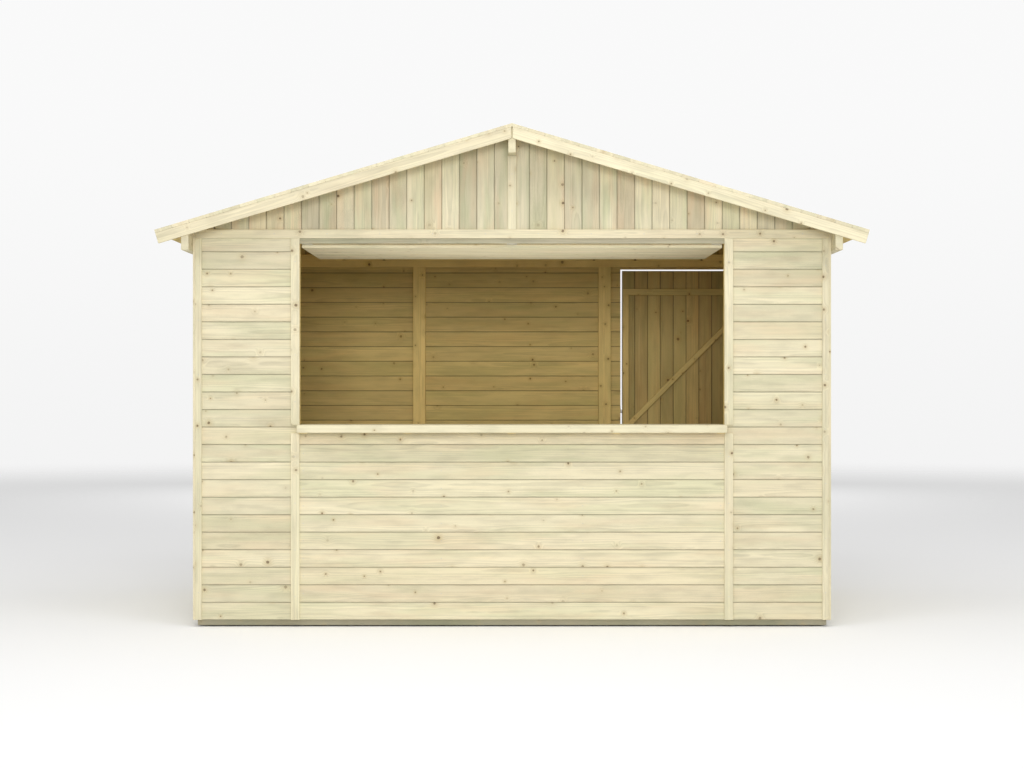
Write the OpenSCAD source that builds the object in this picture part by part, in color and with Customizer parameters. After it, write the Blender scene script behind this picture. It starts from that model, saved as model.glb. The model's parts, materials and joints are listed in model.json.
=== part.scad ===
// A wooden market stall: a boarded shed with a gable roof, a serving hatch that folds up
// inwards over a counter, and a ledged and braced door in its back wall.
// The front faces -Y, the ground is z = 0, and the origin is the middle of its footprint.
// Every part is at its place with the hatch folded up and the door shut.

/* [Walls] */
// Width over the wall frames
frame_w = 3590; // [3000:10:4400]
// Depth over the wall frames
frame_d = 2106; // [1700:10:2800]
// Height of the front and back walls above the floor
wall_h = 2168; // [2000:4:2600]
// Thickness of the wall boards
clad_t = 12; // [9:1:20]
// Width of a stud, and height of a rail
stud_w = 42; // [30:1:60]
// Depth of the studs and rails through the wall
frame_t = 42; // [32:1:60]
// Studs in a side wall between its end studs
side_studs_between = 2; // [1:1:5]
// Width of the strips that cover corners and joints
strip_w = 50; // [40:1:80]
// Thickness of those strips
strip_t = 12; // [9:1:20]

/* [Floor] */
// Thickness of the runners on the ground
runner_t = 8; // [6:1:40]
// Width of a runner
runner_w = 90; // [60:5:140]
// How far the runners stand back from the floor's edge
runner_inset = 80; // [40:5:150]
// Height of the floor's rims and joists
joist_h = 32; // [25:1:75]
// Width of a rim or joist
joist_w = 45; // [35:1:60]
// Number of joists, the two at the ends included
joist_count = 9; // [5:1:14]
// Thickness of the floor boards
floor_t = 12; // [9:1:25]

/* [Serving opening] */
// Width of the opening between its jambs
opening_w = 2424; // [1800:4:2700]
// Height above the floor of the wall below the counter
counter_wall_h = 1052.5; // [900:0.5:1200]
// Height of the rail over the opening
header_h = 28; // [24:1:60]
// Distance between the middles of the two middle studs below the counter
counter_stud_pitch = 808; // [500:4:1000]

/* [Counter] */
// Thickness of the counter's front and inner rails
counter_rail_w = 45; // [35:1:60]
// Height of those rails
counter_rail_h = 45; // [40:1:60]
// Thickness of the counter boards
counter_board_t = 20; // [16:1:26]
// Height of the bearers under the counter boards
bearer_h = 28.5; // [22:0.5:40]
// Number of bearers
bearer_count = 5; // [3:1:8]
// How far the counter stands out from the wall boards
counter_out = 115; // [80:5:300]
// How far the counter reaches into the stall from the wall boards
counter_in = 185; // [120:5:300]
// How much longer the front rail is than the opening
counter_overhang = 10; // [0:1:60]

/* [Hatch] */
// Gap between the hatch and each jamb
hatch_side_gap = 10; // [6:1:20]
// Gap between the shut hatch and the counter
hatch_foot_gap = 9; // [6:1:20]
// Gap between the shut hatch and the header
hatch_head_gap = 5; // [5:0.5:8]
// How far the header's boards hang below its rail
header_lip = 6.5; // [4:0.5:12]
// Thickness of the hatch's rails and battens
hatch_batten_t = 8; // [8:1:25]
// Width of a hatch rail or batten
hatch_batten_w = 60; // [40:1:90]
// Radius of the hatch hinge knuckles
hatch_knuckle_r = 3.3; // [3:0.1:3.4]

/* [Doorway and door] */
// Width of the doorway
doorway_w = 980; // [800:5:1100]
// Height of the doorway above the floor
doorway_h = 2111; // [1850:1:2120]
// Wall between the doorway and the corner it is nearest
doorway_side = 78.5; // [70:0.5:200]
// Boards on the doorway's other side, out to the panel joint
doorway_bare = 108.5; // [60:0.5:200]
// Gap between the door and each side of the doorway
door_side_gap = 11; // [8:1:16]
// Gap over the door
door_head_gap = 10; // [6:1:20]
// Gap between the door and the floor
door_foot_gap = 6; // [5:1:20]
// Thickness of the door's ledges, stiles and braces
ledge_t = 28; // [18:1:36]
// Height of a ledge
ledge_h = 42; // [35:1:90]
// Distance of the outer ledges from the door's ends
ledge_inset = 123; // [60:1:250]
// Height of the middle ledge's middle above the floor
mid_ledge_z = 1035; // [800:5:1200]
// Width of a stile
stile_w = 38; // [30:1:80]
// Distance of the stiles and ledge ends from the door's edges
stile_inset = 6; // [2:1:20]
// Width of a brace
brace_w = 34; // [25:1:80]

/* [Hinges and hasp] */
// Length of a door hinge's strap
strap_l = 330; // [200:5:450]
// Height of a door hinge's strap
strap_h = 34; // [25:1:50]
// Thickness of the door's hinge and hasp plates
plate_t = 3; // [2:0.5:5]
// Radius of the door hinge knuckles
knuckle_r = 5.5; // [5:0.1:5.8]
// Length of the hasp
hasp_l = 100; // [80:5:160]
// Height of the hasp
hasp_h = 43; // [25:1:60]
// Height of the hasp's middle above the floor
hasp_z = 1157.5; // [900:0.5:1400]

/* [Roof] */
// Rise of the roof for each unit of run
roof_pitch = 0.298; // [0.2:0.001:0.5]
// Height of the roof boards over the front wall's top at the side walls' outer face
eaves_rise = 72.6; // [60:0.1:150]
// Thickness of the roof boards
deck_t = 18; // [12:1:25]
// Reach of the roof past the side walls' strips
eaves_over = 190; // [100:5:300]
// Reach of the roof past the front and back strips
gable_over = 166; // [60:1:300]
// Width of the ridge beam and of each eaves purlin
beam_w = 42; // [35:1:70]
// Height of those beams at their lower edge
beam_h = 137.5; // [90:0.5:160]
// Depth of a bargeboard, square to the slope
barge_h = 62; // [40:1:120]
// Thickness of a bargeboard
barge_t = 16; // [12:1:25]
// Gap between the two bargeboards of a gable
barge_gap = 9; // [2:1:15]

/* [Hidden] */

BOARD = "#e2dcbc";
TIMBER = "#cfc394";
TRIM = "#eee8c8";
SHADED = "#b7a66e";
STEEL = "#b4b8ba";

// Half sizes of the frames, the boards on them and the strips on those
frame_x = frame_w / 2;
frame_y = frame_d / 2;
clad_x = frame_x + clad_t;
clad_y = frame_y + clad_t;
strip_x = clad_x + strip_t;
strip_y = clad_y + strip_t;
inner_y = frame_y - frame_t;

// Heights
clad_z = runner_t + joist_h;
floor_z = clad_z + floor_t;
stud_z = floor_z + stud_w;
wall_z = floor_z + wall_h;
counter_wall_z = floor_z + counter_wall_h;
header_z = wall_z - header_h;
plate_z = wall_z - stud_w;
fascia_drop = 4;
fascia_z = wall_z - fascia_drop;
doorway_z = floor_z + doorway_h;

// The opening and its jambs
jamb_x = opening_w / 2;
batten_side = 1;

// The doorway and the panel joints of the back wall
doorway_x1 = frame_x - doorway_side;
doorway_x0 = doorway_x1 - doorway_w;
joint_x = doorway_x0 - doorway_bare;

// The counter
fit = 2;
counter_z = counter_wall_z + bearer_h + counter_board_t;
counter_x = jamb_x - fit;
counter_y0 = -clad_y - counter_out;
counter_y1 = -clad_y + counter_in;
bearer_w = 45;

// The hatch, shut, and its hinge pin
hatch_x = jamb_x - hatch_side_gap;
hatch_z1 = header_z - header_lip - hatch_head_gap;
hatch_z0 = counter_z + hatch_foot_gap;
hatch_inner_y = -frame_y + hatch_batten_t;
hatch_knuckle_gap = 0.2;
hatch_pin_out = hatch_knuckle_r + 0.5;
hatch_pin_y = hatch_inner_y + hatch_pin_out;
hatch_pin_z = header_z - hatch_knuckle_r - hatch_knuckle_gap;
hatch_pin_up = hatch_pin_z - hatch_z1;
hatch_leaf_t = 1.5;
hatch_strap_l = 30;
butt_gap = 1;
batten_steps = 2;
batten_pitch = (hatch_x - hatch_batten_w / 2) / batten_steps;
hatch_hinge_l = 60;
knuckle_gap = 0.4;

// The door and its hinge pin
door_x0 = doorway_x0 + door_side_gap;
door_x1 = doorway_x1 - door_side_gap;
door_z0 = floor_z + door_foot_gap;
door_z1 = doorway_z - door_head_gap;
pin_x = (door_x1 + doorway_x1) / 2;
pin_y = clad_y + 6;
ledge_x0 = door_x0 + stile_inset;
ledge_x1 = door_x1 - stile_inset;
ledge_zs = [door_z0 + ledge_inset, floor_z + mid_ledge_z - ledge_h / 2, door_z1 - ledge_inset - ledge_h];
hinge_zs = [ledge_zs[0] + ledge_h / 2, ledge_zs[1] + ledge_h / 2, ledge_zs[2] + ledge_h / 2];
leaf_w = 46;
leaf_h = 60;
leaf_off = 7;
door_knuckle_h = 24;
wall_knuckle_h = 12;
hasp_gap = 5;
hasp_on_wall = 37;

// The roof: heights over a distance x from the middle
slope = atan(roof_pitch);
deck_v = deck_t / cos(slope);
barge_v = barge_h / cos(slope);
under_apex = wall_z + eaves_rise + roof_pitch * clad_x;
function under(x) = under_apex - roof_pitch * x;
deck_x = strip_x + eaves_over;
deck_y = strip_y + gable_over;
barge_y = deck_y - barge_t;
beam_z = under(beam_w / 2) - beam_h;
purlin_x1 = strip_x + beam_w;
purlin_z = under(purlin_x1) - beam_h;
rafter_v = stud_w / cos(slope);
gable_rail_z = wall_z + stud_w;

function between(a, b, n) = [for (i = [0:n - 1]) a + (b - a) * i / (n - 1)];

// A box from its lowest to its highest corner
module block(low, high) {
    translate(low) cube(high - low);
}

// An outline in X and Z, extruded from y0 to y1
module profile(y0, y1, points) {
    translate([0, y1, 0]) rotate([90, 0, 0]) linear_extrude(y1 - y0) polygon(points);
}

module both_x() {
    children();
    mirror([1, 0, 0]) children();
}

module both_y() {
    children();
    mirror([0, 1, 0]) children();
}

// Folds a part that is drawn shut up to its place under the roof
module folded_up() {
    translate([0, hatch_pin_y, hatch_pin_z]) rotate([90, 0, 0])
        translate([0, -hatch_pin_y, -hatch_pin_z]) children();
}

// Floor
module floor_runners() {
    run_x = frame_x - runner_inset;
    run_y = frame_y - runner_inset - runner_w / 2;
    color(SHADED) for (y = [-run_y, 0, run_y])
        block([-run_x, y - runner_w / 2, 0], [run_x, y + runner_w / 2, runner_t]);
}

module floor_rims() {
    color(TIMBER) both_y()
        block([-frame_x, frame_y - joist_w, runner_t], [frame_x, frame_y, clad_z]);
}

module floor_joists() {
    color(TIMBER) for (x = between(-frame_x, frame_x - joist_w, joist_count))
        block([x, -frame_y + joist_w, runner_t], [x + joist_w, frame_y - joist_w, clad_z]);
}

module floor_boards() {
    color(BOARD) block([-frame_x, -frame_y, clad_z], [frame_x, frame_y, floor_z]);
}

// Boards of the front and back walls, between two places along x
module wall_boards(x0, x1, z0, z1) {
    color(BOARD) block([x0, frame_y, z0], [x1, clad_y, z1]);
}

module front_wall_right() {
    mirror([0, 1, 0]) wall_boards(jamb_x, frame_x, clad_z, wall_z);
}

module front_wall_left() {
    mirror([1, 0, 0]) front_wall_right();
}

module front_wall_centre() {
    mirror([0, 1, 0]) wall_boards(-jamb_x, jamb_x, clad_z, counter_wall_z);
}

module front_wall_header() {
    mirror([0, 1, 0]) wall_boards(-jamb_x, jamb_x, header_z - header_lip, wall_z);
}

module back_wall_left() {
    wall_boards(-frame_x, -joint_x, clad_z, wall_z);
}

module back_wall_middle() {
    wall_boards(-joint_x, joint_x, clad_z, wall_z);
}

module back_wall_beside_door() {
    wall_boards(joint_x, doorway_x0, clad_z, wall_z);
    wall_boards(doorway_x1, frame_x, clad_z, wall_z);
}

module back_wall_over_door() {
    wall_boards(doorway_x0, doorway_x1, doorway_z, wall_z);
}

// Side walls, bevelled to the roof
module right_wall() {
    color(BOARD) profile(-clad_y, clad_y,
        [[frame_x, clad_z], [clad_x, clad_z], [clad_x, under(clad_x)], [frame_x, under(frame_x)]]);
}

module left_wall() {
    mirror([1, 0, 0]) right_wall();
}

// Frames of the walls
module stud(x, z0, z1) {
    color(TIMBER) block([x, inner_y, z0], [x + stud_w, frame_y, z1]);
}

module rail(x0, x1, z0, z1) {
    color(TIMBER) block([x0, inner_y, z0], [x1, frame_y, z1]);
}

module front_studs() {
    mirror([0, 1, 0]) both_x() {
        stud(jamb_x, stud_z, header_z);
        stud(frame_x - stud_w, stud_z, header_z);
    }
}

module counter_studs() {
    mirror([0, 1, 0]) both_x() {
        stud(jamb_x - stud_w, stud_z, counter_wall_z - stud_w);
        stud((counter_stud_pitch - stud_w) / 2, stud_z, counter_wall_z - stud_w);
    }
}

module front_rails() {
    mirror([0, 1, 0]) {
        rail(-frame_x, frame_x, floor_z, stud_z);
        rail(-jamb_x, jamb_x, counter_wall_z - stud_w, counter_wall_z);
        rail(-frame_x, frame_x, header_z, wall_z);
    }
}

module back_studs() {
    both_x() {
        rail(joint_x - stud_w, joint_x + stud_w, stud_z, plate_z);
        stud(frame_x - stud_w, stud_z, plate_z);
    }
    stud(doorway_x1, stud_z, plate_z);
}

module back_rails() {
    rail(-frame_x, doorway_x0, floor_z, stud_z);
    rail(doorway_x1, frame_x, floor_z, stud_z);
    rail(-frame_x, frame_x, plate_z, wall_z);
}

module side_rails() {
    x0 = frame_x - frame_t;
    top_z = under(frame_x) - stud_w;
    color(TIMBER) both_x() {
        block([x0, -inner_y, floor_z], [frame_x, inner_y, stud_z]);
        profile(-inner_y, inner_y,
            [[x0, top_z], [frame_x, top_z], [frame_x, under(frame_x)], [x0, under(x0)]]);
    }
}

module side_studs() {
    color(TIMBER) both_x() for (y = between(-inner_y, inner_y - stud_w, side_studs_between + 2))
        block([frame_x - frame_t, y, stud_z], [frame_x, y + stud_w, under(frame_x) - stud_w]);
}

// Gables
module gable(y0, y1) {
    color(BOARD) profile(y0, y1, [
        [-frame_x, wall_z], [frame_x, wall_z], [frame_x, under(frame_x)],
        [beam_w / 2, under(beam_w / 2)], [beam_w / 2, beam_z],
        [-beam_w / 2, beam_z], [-beam_w / 2, under(beam_w / 2)], [-frame_x, under(frame_x)]]);
}

module front_gable() {
    gable(-clad_y, -frame_y);
}

module back_gable() {
    gable(frame_y, clad_y);
}

module gable_rails() {
    both_y() rail(-frame_x, frame_x, wall_z, gable_rail_z);
}

module gable_frames() {
    foot_x = (under_apex - rafter_v - gable_rail_z) / roof_pitch;
    color(TIMBER) both_y() {
        both_x() profile(inner_y, frame_y, [
            [beam_w / 2, under(beam_w / 2)], [beam_w / 2, under(beam_w / 2) - rafter_v],
            [foot_x, gable_rail_z], [frame_x, gable_rail_z], [frame_x, under(frame_x)]]);
        block([-stud_w, inner_y, gable_rail_z], [stud_w, frame_y, beam_z]);
    }
}

// Roof
module roof_beams() {
    color(TIMBER) {
        profile(-barge_y, barge_y, [
            [-beam_w / 2, beam_z], [beam_w / 2, beam_z], [beam_w / 2, under(beam_w / 2)],
            [0, under(0)], [-beam_w / 2, under(beam_w / 2)]]);
        both_x() profile(-barge_y, barge_y, [
            [strip_x, purlin_z], [purlin_x1, purlin_z],
            [purlin_x1, under(purlin_x1)], [strip_x, under(strip_x)]]);
    }
}

module roof_right() {
    end_x = deck_x - deck_t * sin(slope);
    color(TRIM) profile(-deck_y, deck_y,
        [[0, under(0)], [end_x, under(end_x)], [deck_x, under(deck_x) + deck_v], [0, under(0) + deck_v]]);
}

module roof_left() {
    mirror([1, 0, 0]) roof_right();
}

module bargeboards() {
    top_x = deck_x - deck_t * sin(slope);
    end_x = top_x - barge_h * sin(slope);
    start_x = barge_gap / 2;
    color(TRIM) both_x() both_y() profile(barge_y, deck_y, [
        [start_x, under(start_x)], [start_x, under(start_x) - barge_v],
        [end_x, under(end_x) - barge_v], [top_x, under(top_x)]]);
}

// Strips over the corners and joints
module strip(x0, x1, z0, z1) {
    color(TRIM) block([x0, clad_y, z0], [x1, strip_y, z1]);
}

module cover_strips() {
    both_x() both_y() strip(strip_x - strip_w, clad_x, clad_z, fascia_z);
    mirror([0, 1, 0]) both_x() {
        strip(jamb_x - batten_side, jamb_x - batten_side + strip_w, clad_z, counter_wall_z);
        strip(jamb_x - batten_side, jamb_x - batten_side + strip_w, counter_z - fit, fascia_z);
    }
    both_x() strip(joint_x - strip_w / 2, joint_x + strip_w / 2, clad_z, fascia_z);
    both_y() strip(-strip_w / 2, strip_w / 2, fascia_z + strip_w, beam_z);
}

module side_strips() {
    color(TRIM) both_x() both_y() profile(strip_y - strip_w, strip_y, [
        [clad_x, clad_z], [strip_x, clad_z], [strip_x, under(strip_x)], [clad_x, under(clad_x)]]);
}

module fascia_strips() {
    both_y() strip(-clad_x, clad_x, fascia_z, fascia_z + strip_w);
}

// Counter
module counter_rails() {
    color(TRIM) {
        block([-jamb_x - counter_overhang / 2, counter_y0, counter_z - counter_rail_h],
            [jamb_x + counter_overhang / 2, counter_y0 + counter_rail_w, counter_z]);
        block([-counter_x, counter_y1 - counter_rail_w, counter_z - counter_rail_h],
            [counter_x, counter_y1, counter_z]);
    }
}

module counter_boards() {
    color(TRIM) block([-counter_x, counter_y0 + counter_rail_w, counter_z - counter_board_t],
        [counter_x, counter_y1 - counter_rail_w, counter_z]);
}

module counter_bearers() {
    color(TIMBER) for (x = between(-counter_x, counter_x - bearer_w, bearer_count))
        block([x, counter_y0 + counter_rail_w, counter_wall_z],
            [x + bearer_w, counter_y1 - counter_rail_w, counter_z - counter_board_t]);
}

// Hatch
module hatch_boards() {
    color(BOARD) folded_up() block([-hatch_x, -clad_y, hatch_z0], [hatch_x, -frame_y, hatch_z1]);
}

// A rail along the head and the foot, with upright battens between them
module hatch_battens() {
    color(TIMBER) folded_up() {
        for (z = [hatch_z0, hatch_z1 - hatch_batten_w])
            block([-hatch_x, -frame_y, z], [hatch_x, hatch_inner_y, z + hatch_batten_w]);
        for (i = [-batten_steps:batten_steps]) translate([i * batten_pitch, 0, 0])
            block([-hatch_batten_w / 2, -frame_y, hatch_z0 + hatch_batten_w + butt_gap],
                [hatch_batten_w / 2, hatch_inner_y, hatch_z1 - hatch_batten_w - butt_gap]);
    }
}

// Places a hatch hinge at the two end battens and the middle one
module hatch_hinges() {
    for (i = [-batten_steps, 0, batten_steps])
        translate([i * batten_pitch, hatch_pin_y, hatch_pin_z]) children();
}

module hatch_knuckle(x0, x1) {
    translate([x0, 0, 0]) rotate([0, 90, 0]) cylinder(h = x1 - x0, r = hatch_knuckle_r, $fn = 48);
}

module hatch_hinge_straps() {
    knuckle = hatch_hinge_l / 3;
    strap_y = hatch_leaf_t - hatch_pin_out;
    strap_z = -hatch_pin_up - hatch_strap_l;
    color(STEEL) folded_up() hatch_hinges() {
        hatch_knuckle(-knuckle / 2, knuckle / 2);
        block([-knuckle / 2, -hatch_pin_out, strap_z], [knuckle / 2, strap_y, 0]);
        for (s = [-1, 1]) translate([s * knuckle, 0, 0])
            block([-knuckle / 2, -hatch_pin_out, strap_z], [knuckle / 2, strap_y, -hatch_pin_up]);
    }
}

module hinge_leaves() {
    knuckle = hatch_hinge_l / 3;
    leaf_y = -frame_y - hatch_pin_y;
    leaf_z = header_z - hatch_pin_z;
    color(STEEL) {
        hatch_hinges() {
            block([-hatch_hinge_l / 2, leaf_y, leaf_z - hatch_leaf_t],
                [hatch_hinge_l / 2, -hatch_pin_out, leaf_z]);
            for (s = [-1, 1]) translate([s * knuckle, 0, 0]) {
                hatch_knuckle(-knuckle / 2 + knuckle_gap, knuckle / 2 - knuckle_gap);
                block([-knuckle / 2 + knuckle_gap, leaf_y, leaf_z - hatch_leaf_t],
                    [knuckle / 2 - knuckle_gap, 0, leaf_z]);
            }
        }
        door_hinges() {
            block([leaf_off, clad_y - pin_y, -leaf_h / 2],
                [leaf_off + leaf_w, clad_y - pin_y + plate_t, leaf_h / 2]);
            for (s = [-1, 1])
                translate([0, 0, s * (door_knuckle_h + wall_knuckle_h) / 2]) {
                    door_knuckle(wall_knuckle_h - knuckle_gap);
                    block([0, clad_y - pin_y, -wall_knuckle_h / 2 + knuckle_gap],
                        [leaf_off, clad_y - pin_y + plate_t, wall_knuckle_h / 2 - knuckle_gap]);
                }
        }
    }
}

// Door
module door_boards() {
    color(SHADED) block([door_x0, frame_y, door_z0], [door_x1, clad_y, door_z1]);
}

module door_ledges() {
    color(TIMBER) for (z = ledge_zs)
        block([ledge_x0, frame_y - ledge_t, z], [ledge_x1, frame_y, z + ledge_h]);
}

module door_stiles() {
    color(TIMBER) for (i = [0, 1], x = [ledge_x0, ledge_x1 - stile_w])
        block([x, frame_y - ledge_t, ledge_zs[i] + ledge_h], [x + stile_w, frame_y, ledge_zs[i + 1]]);
}

// A brace from the lower left to the upper right corner of each bay
module door_braces() {
    run = ledge_x1 - ledge_x0 - 2 * stile_w;
    color(TIMBER) for (i = [0, 1]) {
        rise = ledge_zs[i + 1] - ledge_zs[i] - ledge_h;
        length = norm([run, rise]) + 2 * brace_w;
        translate([ledge_x0 + stile_w, frame_y, ledge_zs[i] + ledge_h]) rotate([90, 0, 0])
            linear_extrude(ledge_t) intersection() {
                square([run, rise]);
                rotate(atan2(rise, run)) translate([-brace_w, -brace_w / 2]) square([length, brace_w]);
            }
    }
}

// Places a door hinge at each ledge
module door_hinges() {
    for (z = hinge_zs) translate([pin_x, pin_y, z]) children();
}

module door_knuckle(height) {
    translate([0, 0, -height / 2]) cylinder(h = height, r = knuckle_r, $fn = 48);
}

module door_hinge_straps() {
    color(STEEL) door_hinges() {
        door_knuckle(door_knuckle_h - knuckle_gap);
        block([-leaf_off, clad_y - pin_y, -door_knuckle_h / 2 + knuckle_gap],
            [0, clad_y - pin_y + plate_t, door_knuckle_h / 2 - knuckle_gap]);
        block([-strap_l, clad_y - pin_y, -strap_h / 2],
            [-leaf_off, clad_y - pin_y + plate_t, strap_h / 2]);
    }
}

module door_hasp() {
    x0 = doorway_x0 - hasp_on_wall;
    z0 = floor_z + hasp_z - hasp_h / 2;
    color(STEEL) {
        block([x0, clad_y + hasp_gap, z0], [x0 + hasp_l, clad_y + hasp_gap + plate_t, z0 + hasp_h]);
        block([door_x0 + stile_inset, clad_y, z0], [x0 + hasp_l, clad_y + hasp_gap, z0 + hasp_h]);
    }
}

floor_runners();
floor_rims();
floor_joists();
floor_boards();
front_wall_left();
front_wall_right();
front_wall_centre();
front_wall_header();
front_studs();
front_rails();
counter_studs();
left_wall();
right_wall();
side_studs();
side_rails();
back_wall_left();
back_wall_middle();
back_wall_beside_door();
back_wall_over_door();
back_studs();
back_rails();
front_gable();
back_gable();
gable_rails();
gable_frames();
roof_beams();
roof_left();
roof_right();
bargeboards();
cover_strips();
side_strips();
fascia_strips();
counter_boards();
counter_rails();
counter_bearers();
hatch_boards();
hatch_battens();
hatch_hinge_straps();
hinge_leaves();
door_boards();
door_ledges();
door_stiles();
door_braces();
door_hinge_straps();
door_hasp();
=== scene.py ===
"""A wooden market stall: its boards, framing, trim, hinges and nails, in a pale studio."""
import json
import math
import random

import bpy
import numpy as np
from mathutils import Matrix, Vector


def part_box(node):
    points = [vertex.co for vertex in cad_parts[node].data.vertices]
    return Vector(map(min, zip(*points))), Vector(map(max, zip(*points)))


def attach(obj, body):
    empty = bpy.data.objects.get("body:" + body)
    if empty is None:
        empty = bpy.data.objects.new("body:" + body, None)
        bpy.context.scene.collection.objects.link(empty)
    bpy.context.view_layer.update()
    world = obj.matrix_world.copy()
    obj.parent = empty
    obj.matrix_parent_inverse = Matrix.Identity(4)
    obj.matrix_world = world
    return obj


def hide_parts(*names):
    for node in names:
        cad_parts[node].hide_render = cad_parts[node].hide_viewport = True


bl_info = {
    "name": "Market Stall",
    "version": (1, 0, 0),
    "blender": (4, 5, 0),
    "location": "3D View > Sidebar > Stall",
    "description": "Builds the boards, timbers, fittings and studio of a wooden market stall",
    "category": "Object",
}

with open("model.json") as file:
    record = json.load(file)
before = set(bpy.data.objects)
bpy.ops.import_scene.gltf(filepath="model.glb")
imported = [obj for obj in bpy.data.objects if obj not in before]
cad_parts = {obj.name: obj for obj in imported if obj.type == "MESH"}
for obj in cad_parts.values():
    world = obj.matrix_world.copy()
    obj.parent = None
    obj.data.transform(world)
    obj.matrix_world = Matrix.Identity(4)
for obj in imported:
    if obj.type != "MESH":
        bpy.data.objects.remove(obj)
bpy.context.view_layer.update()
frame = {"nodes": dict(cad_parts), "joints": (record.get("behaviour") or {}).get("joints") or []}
X, Y, Z = 0, 1, 2
MM = 0.001
TOUCH = 0.1 * MM            # places closer than this are the same
PLATE = 3 * MM              # thickness of the door's hinge plates
TONGUE_SHOULDER = 1.5 * MM  # wood on each side of a board's tongue
CLOSE_GROOVE = 0.8 * MM     # bevel of boards that are laid close, on the floor and the roof
COUNTER_GROOVE = 1.2 * MM
FINE_EDGE, PLATE_EDGE = 0.3 * MM, 0.8 * MM
KNUCKLE_TURN = 35           # degrees, more than between the faces of a hinge's round parts
NAIL_MARGIN = 5 * MM        # a nail stays this far from what would hide it
CLADDING_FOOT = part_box("front_wall_centre")[0].z


# ---------------------------------------------------------------- settings

class StallBoardSettings(bpy.types.PropertyGroup):
    cover: bpy.props.FloatProperty(
        name="Board cover", description="Width of a wall board from joint to joint",
        default=0.1, min=0.06, max=0.2, subtype="DISTANCE", unit="LENGTH")
    door_boards: bpy.props.IntProperty(
        name="Door boards", description="Number of upright boards in the door", default=11, min=6, max=16)
    joint: bpy.props.FloatProperty(
        name="Joint", description="Open width of a joint in front of its tongue",
        default=0.0012, min=0.0002, max=0.004, subtype="DISTANCE", unit="LENGTH")
    groove: bpy.props.FloatProperty(
        name="Groove", description="Width of the bevel on each side of a joint, outside",
        default=0.003, min=0.0005, max=0.006, subtype="DISTANCE", unit="LENGTH")
    inner_groove: bpy.props.FloatProperty(
        name="Inner groove", description="Width of the bevel on each side of a joint, inside",
        default=0.0022, min=0.0003, max=0.006, subtype="DISTANCE", unit="LENGTH")


class StallTimberSettings(bpy.types.PropertyGroup):
    arris: bpy.props.FloatProperty(
        name="Framing arris", description="Rounding of the edges of studs, rails and beams",
        default=0.002, min=0.0005, max=0.005, subtype="DISTANCE", unit="LENGTH")
    trim_arris: bpy.props.FloatProperty(
        name="Trim arris", description="Rounding of the edges of strips and bargeboards",
        default=0.0025, min=0.0005, max=0.005, subtype="DISTANCE", unit="LENGTH")
    counter_round: bpy.props.FloatProperty(
        name="Counter rounding", description="Radius on the edges of the counter's rails",
        default=0.007, min=0.001, max=0.015, subtype="DISTANCE", unit="LENGTH")
    nail_head: bpy.props.FloatProperty(
        name="Nail head", description="Radius of a nail's head",
        default=0.0022, min=0.001, max=0.005, subtype="DISTANCE", unit="LENGTH")
    screw_head: bpy.props.FloatProperty(
        name="Screw head", description="Radius of a screw's head",
        default=0.0042, min=0.002, max=0.008, subtype="DISTANCE", unit="LENGTH")
    nail_pitch: bpy.props.FloatProperty(
        name="Nail pitch", description="Distance between the nails along a strip",
        default=0.3, min=0.1, max=0.6, subtype="DISTANCE", unit="LENGTH")


class StallWoodSettings(bpy.types.PropertyGroup):
    pale: bpy.props.FloatVectorProperty(
        name="Pale wood", description="Colour of the clear wood",
        default=(0.70, 0.635, 0.445), size=3, min=0, max=1, subtype="COLOR")
    green: bpy.props.FloatVectorProperty(
        name="Green wood", description="Colour where the preservative shows",
        default=(0.53, 0.53, 0.335), size=3, min=0, max=1, subtype="COLOR")
    tan: bpy.props.FloatVectorProperty(
        name="Tan wood", description="Colour of the warmer boards",
        default=(0.68, 0.55, 0.365), size=3, min=0, max=1, subtype="COLOR")
    # Inward faces are multiplied by this colour, which makes them darker and yellower.
    inside: bpy.props.FloatVectorProperty(
        name="Inside tint", description="What the colour of the inward faces is multiplied by",
        default=(0.95, 0.80, 0.44), size=3, min=0, max=1, subtype="COLOR")
    knot: bpy.props.FloatVectorProperty(
        name="Knot", description="Colour of the heart of a knot",
        default=(0.135, 0.085, 0.042), size=3, min=0, max=1, subtype="COLOR")
    knots: bpy.props.FloatProperty(
        name="Knots", description="Share of the places for a knot that have one",
        default=0.62, min=0, max=1, subtype="FACTOR")


class StallStageSettings(bpy.types.PropertyGroup):
    camera_distance: bpy.props.FloatProperty(
        name="Camera distance", description="Distance of the camera in front of the stall's middle",
        default=12.155, min=5, max=30, subtype="DISTANCE", unit="LENGTH")
    camera_height: bpy.props.FloatProperty(
        name="Camera height", description="Height of the camera above the floor",
        default=1.385, min=0.5, max=5, subtype="DISTANCE", unit="LENGTH")
    lens: bpy.props.FloatProperty(
        name="Lens", description="Focal length in millimetres", default=68.34, min=20, max=200)
    ambient: bpy.props.FloatProperty(
        name="Ambient", description="Strength of the light from all sides", default=0.52, min=0, max=3)
    key: bpy.props.FloatProperty(
        name="Key", description="Power of the softbox above the front, in watts",
        default=185, min=0, max=5000)
    front: bpy.props.FloatProperty(
        name="Front", description="Power of the low softbox that lights the inside, in watts",
        default=290, min=0, max=5000)
    inside: bpy.props.FloatProperty(
        name="Inside", description="Power of the softbox on the stall's floor, in watts",
        default=8.5, min=0, max=500)
    fill: bpy.props.FloatProperty(
        name="Fill", description="Power of each softbox at the sides and the back, in watts",
        default=260, min=0, max=5000)
    floor: bpy.props.FloatVectorProperty(
        name="Floor", description="Colour of the studio floor",
        default=(0.96, 0.96, 0.96), size=3, min=0, max=1, subtype="COLOR")


# ---------------------------------------------------------------- materials

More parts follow.
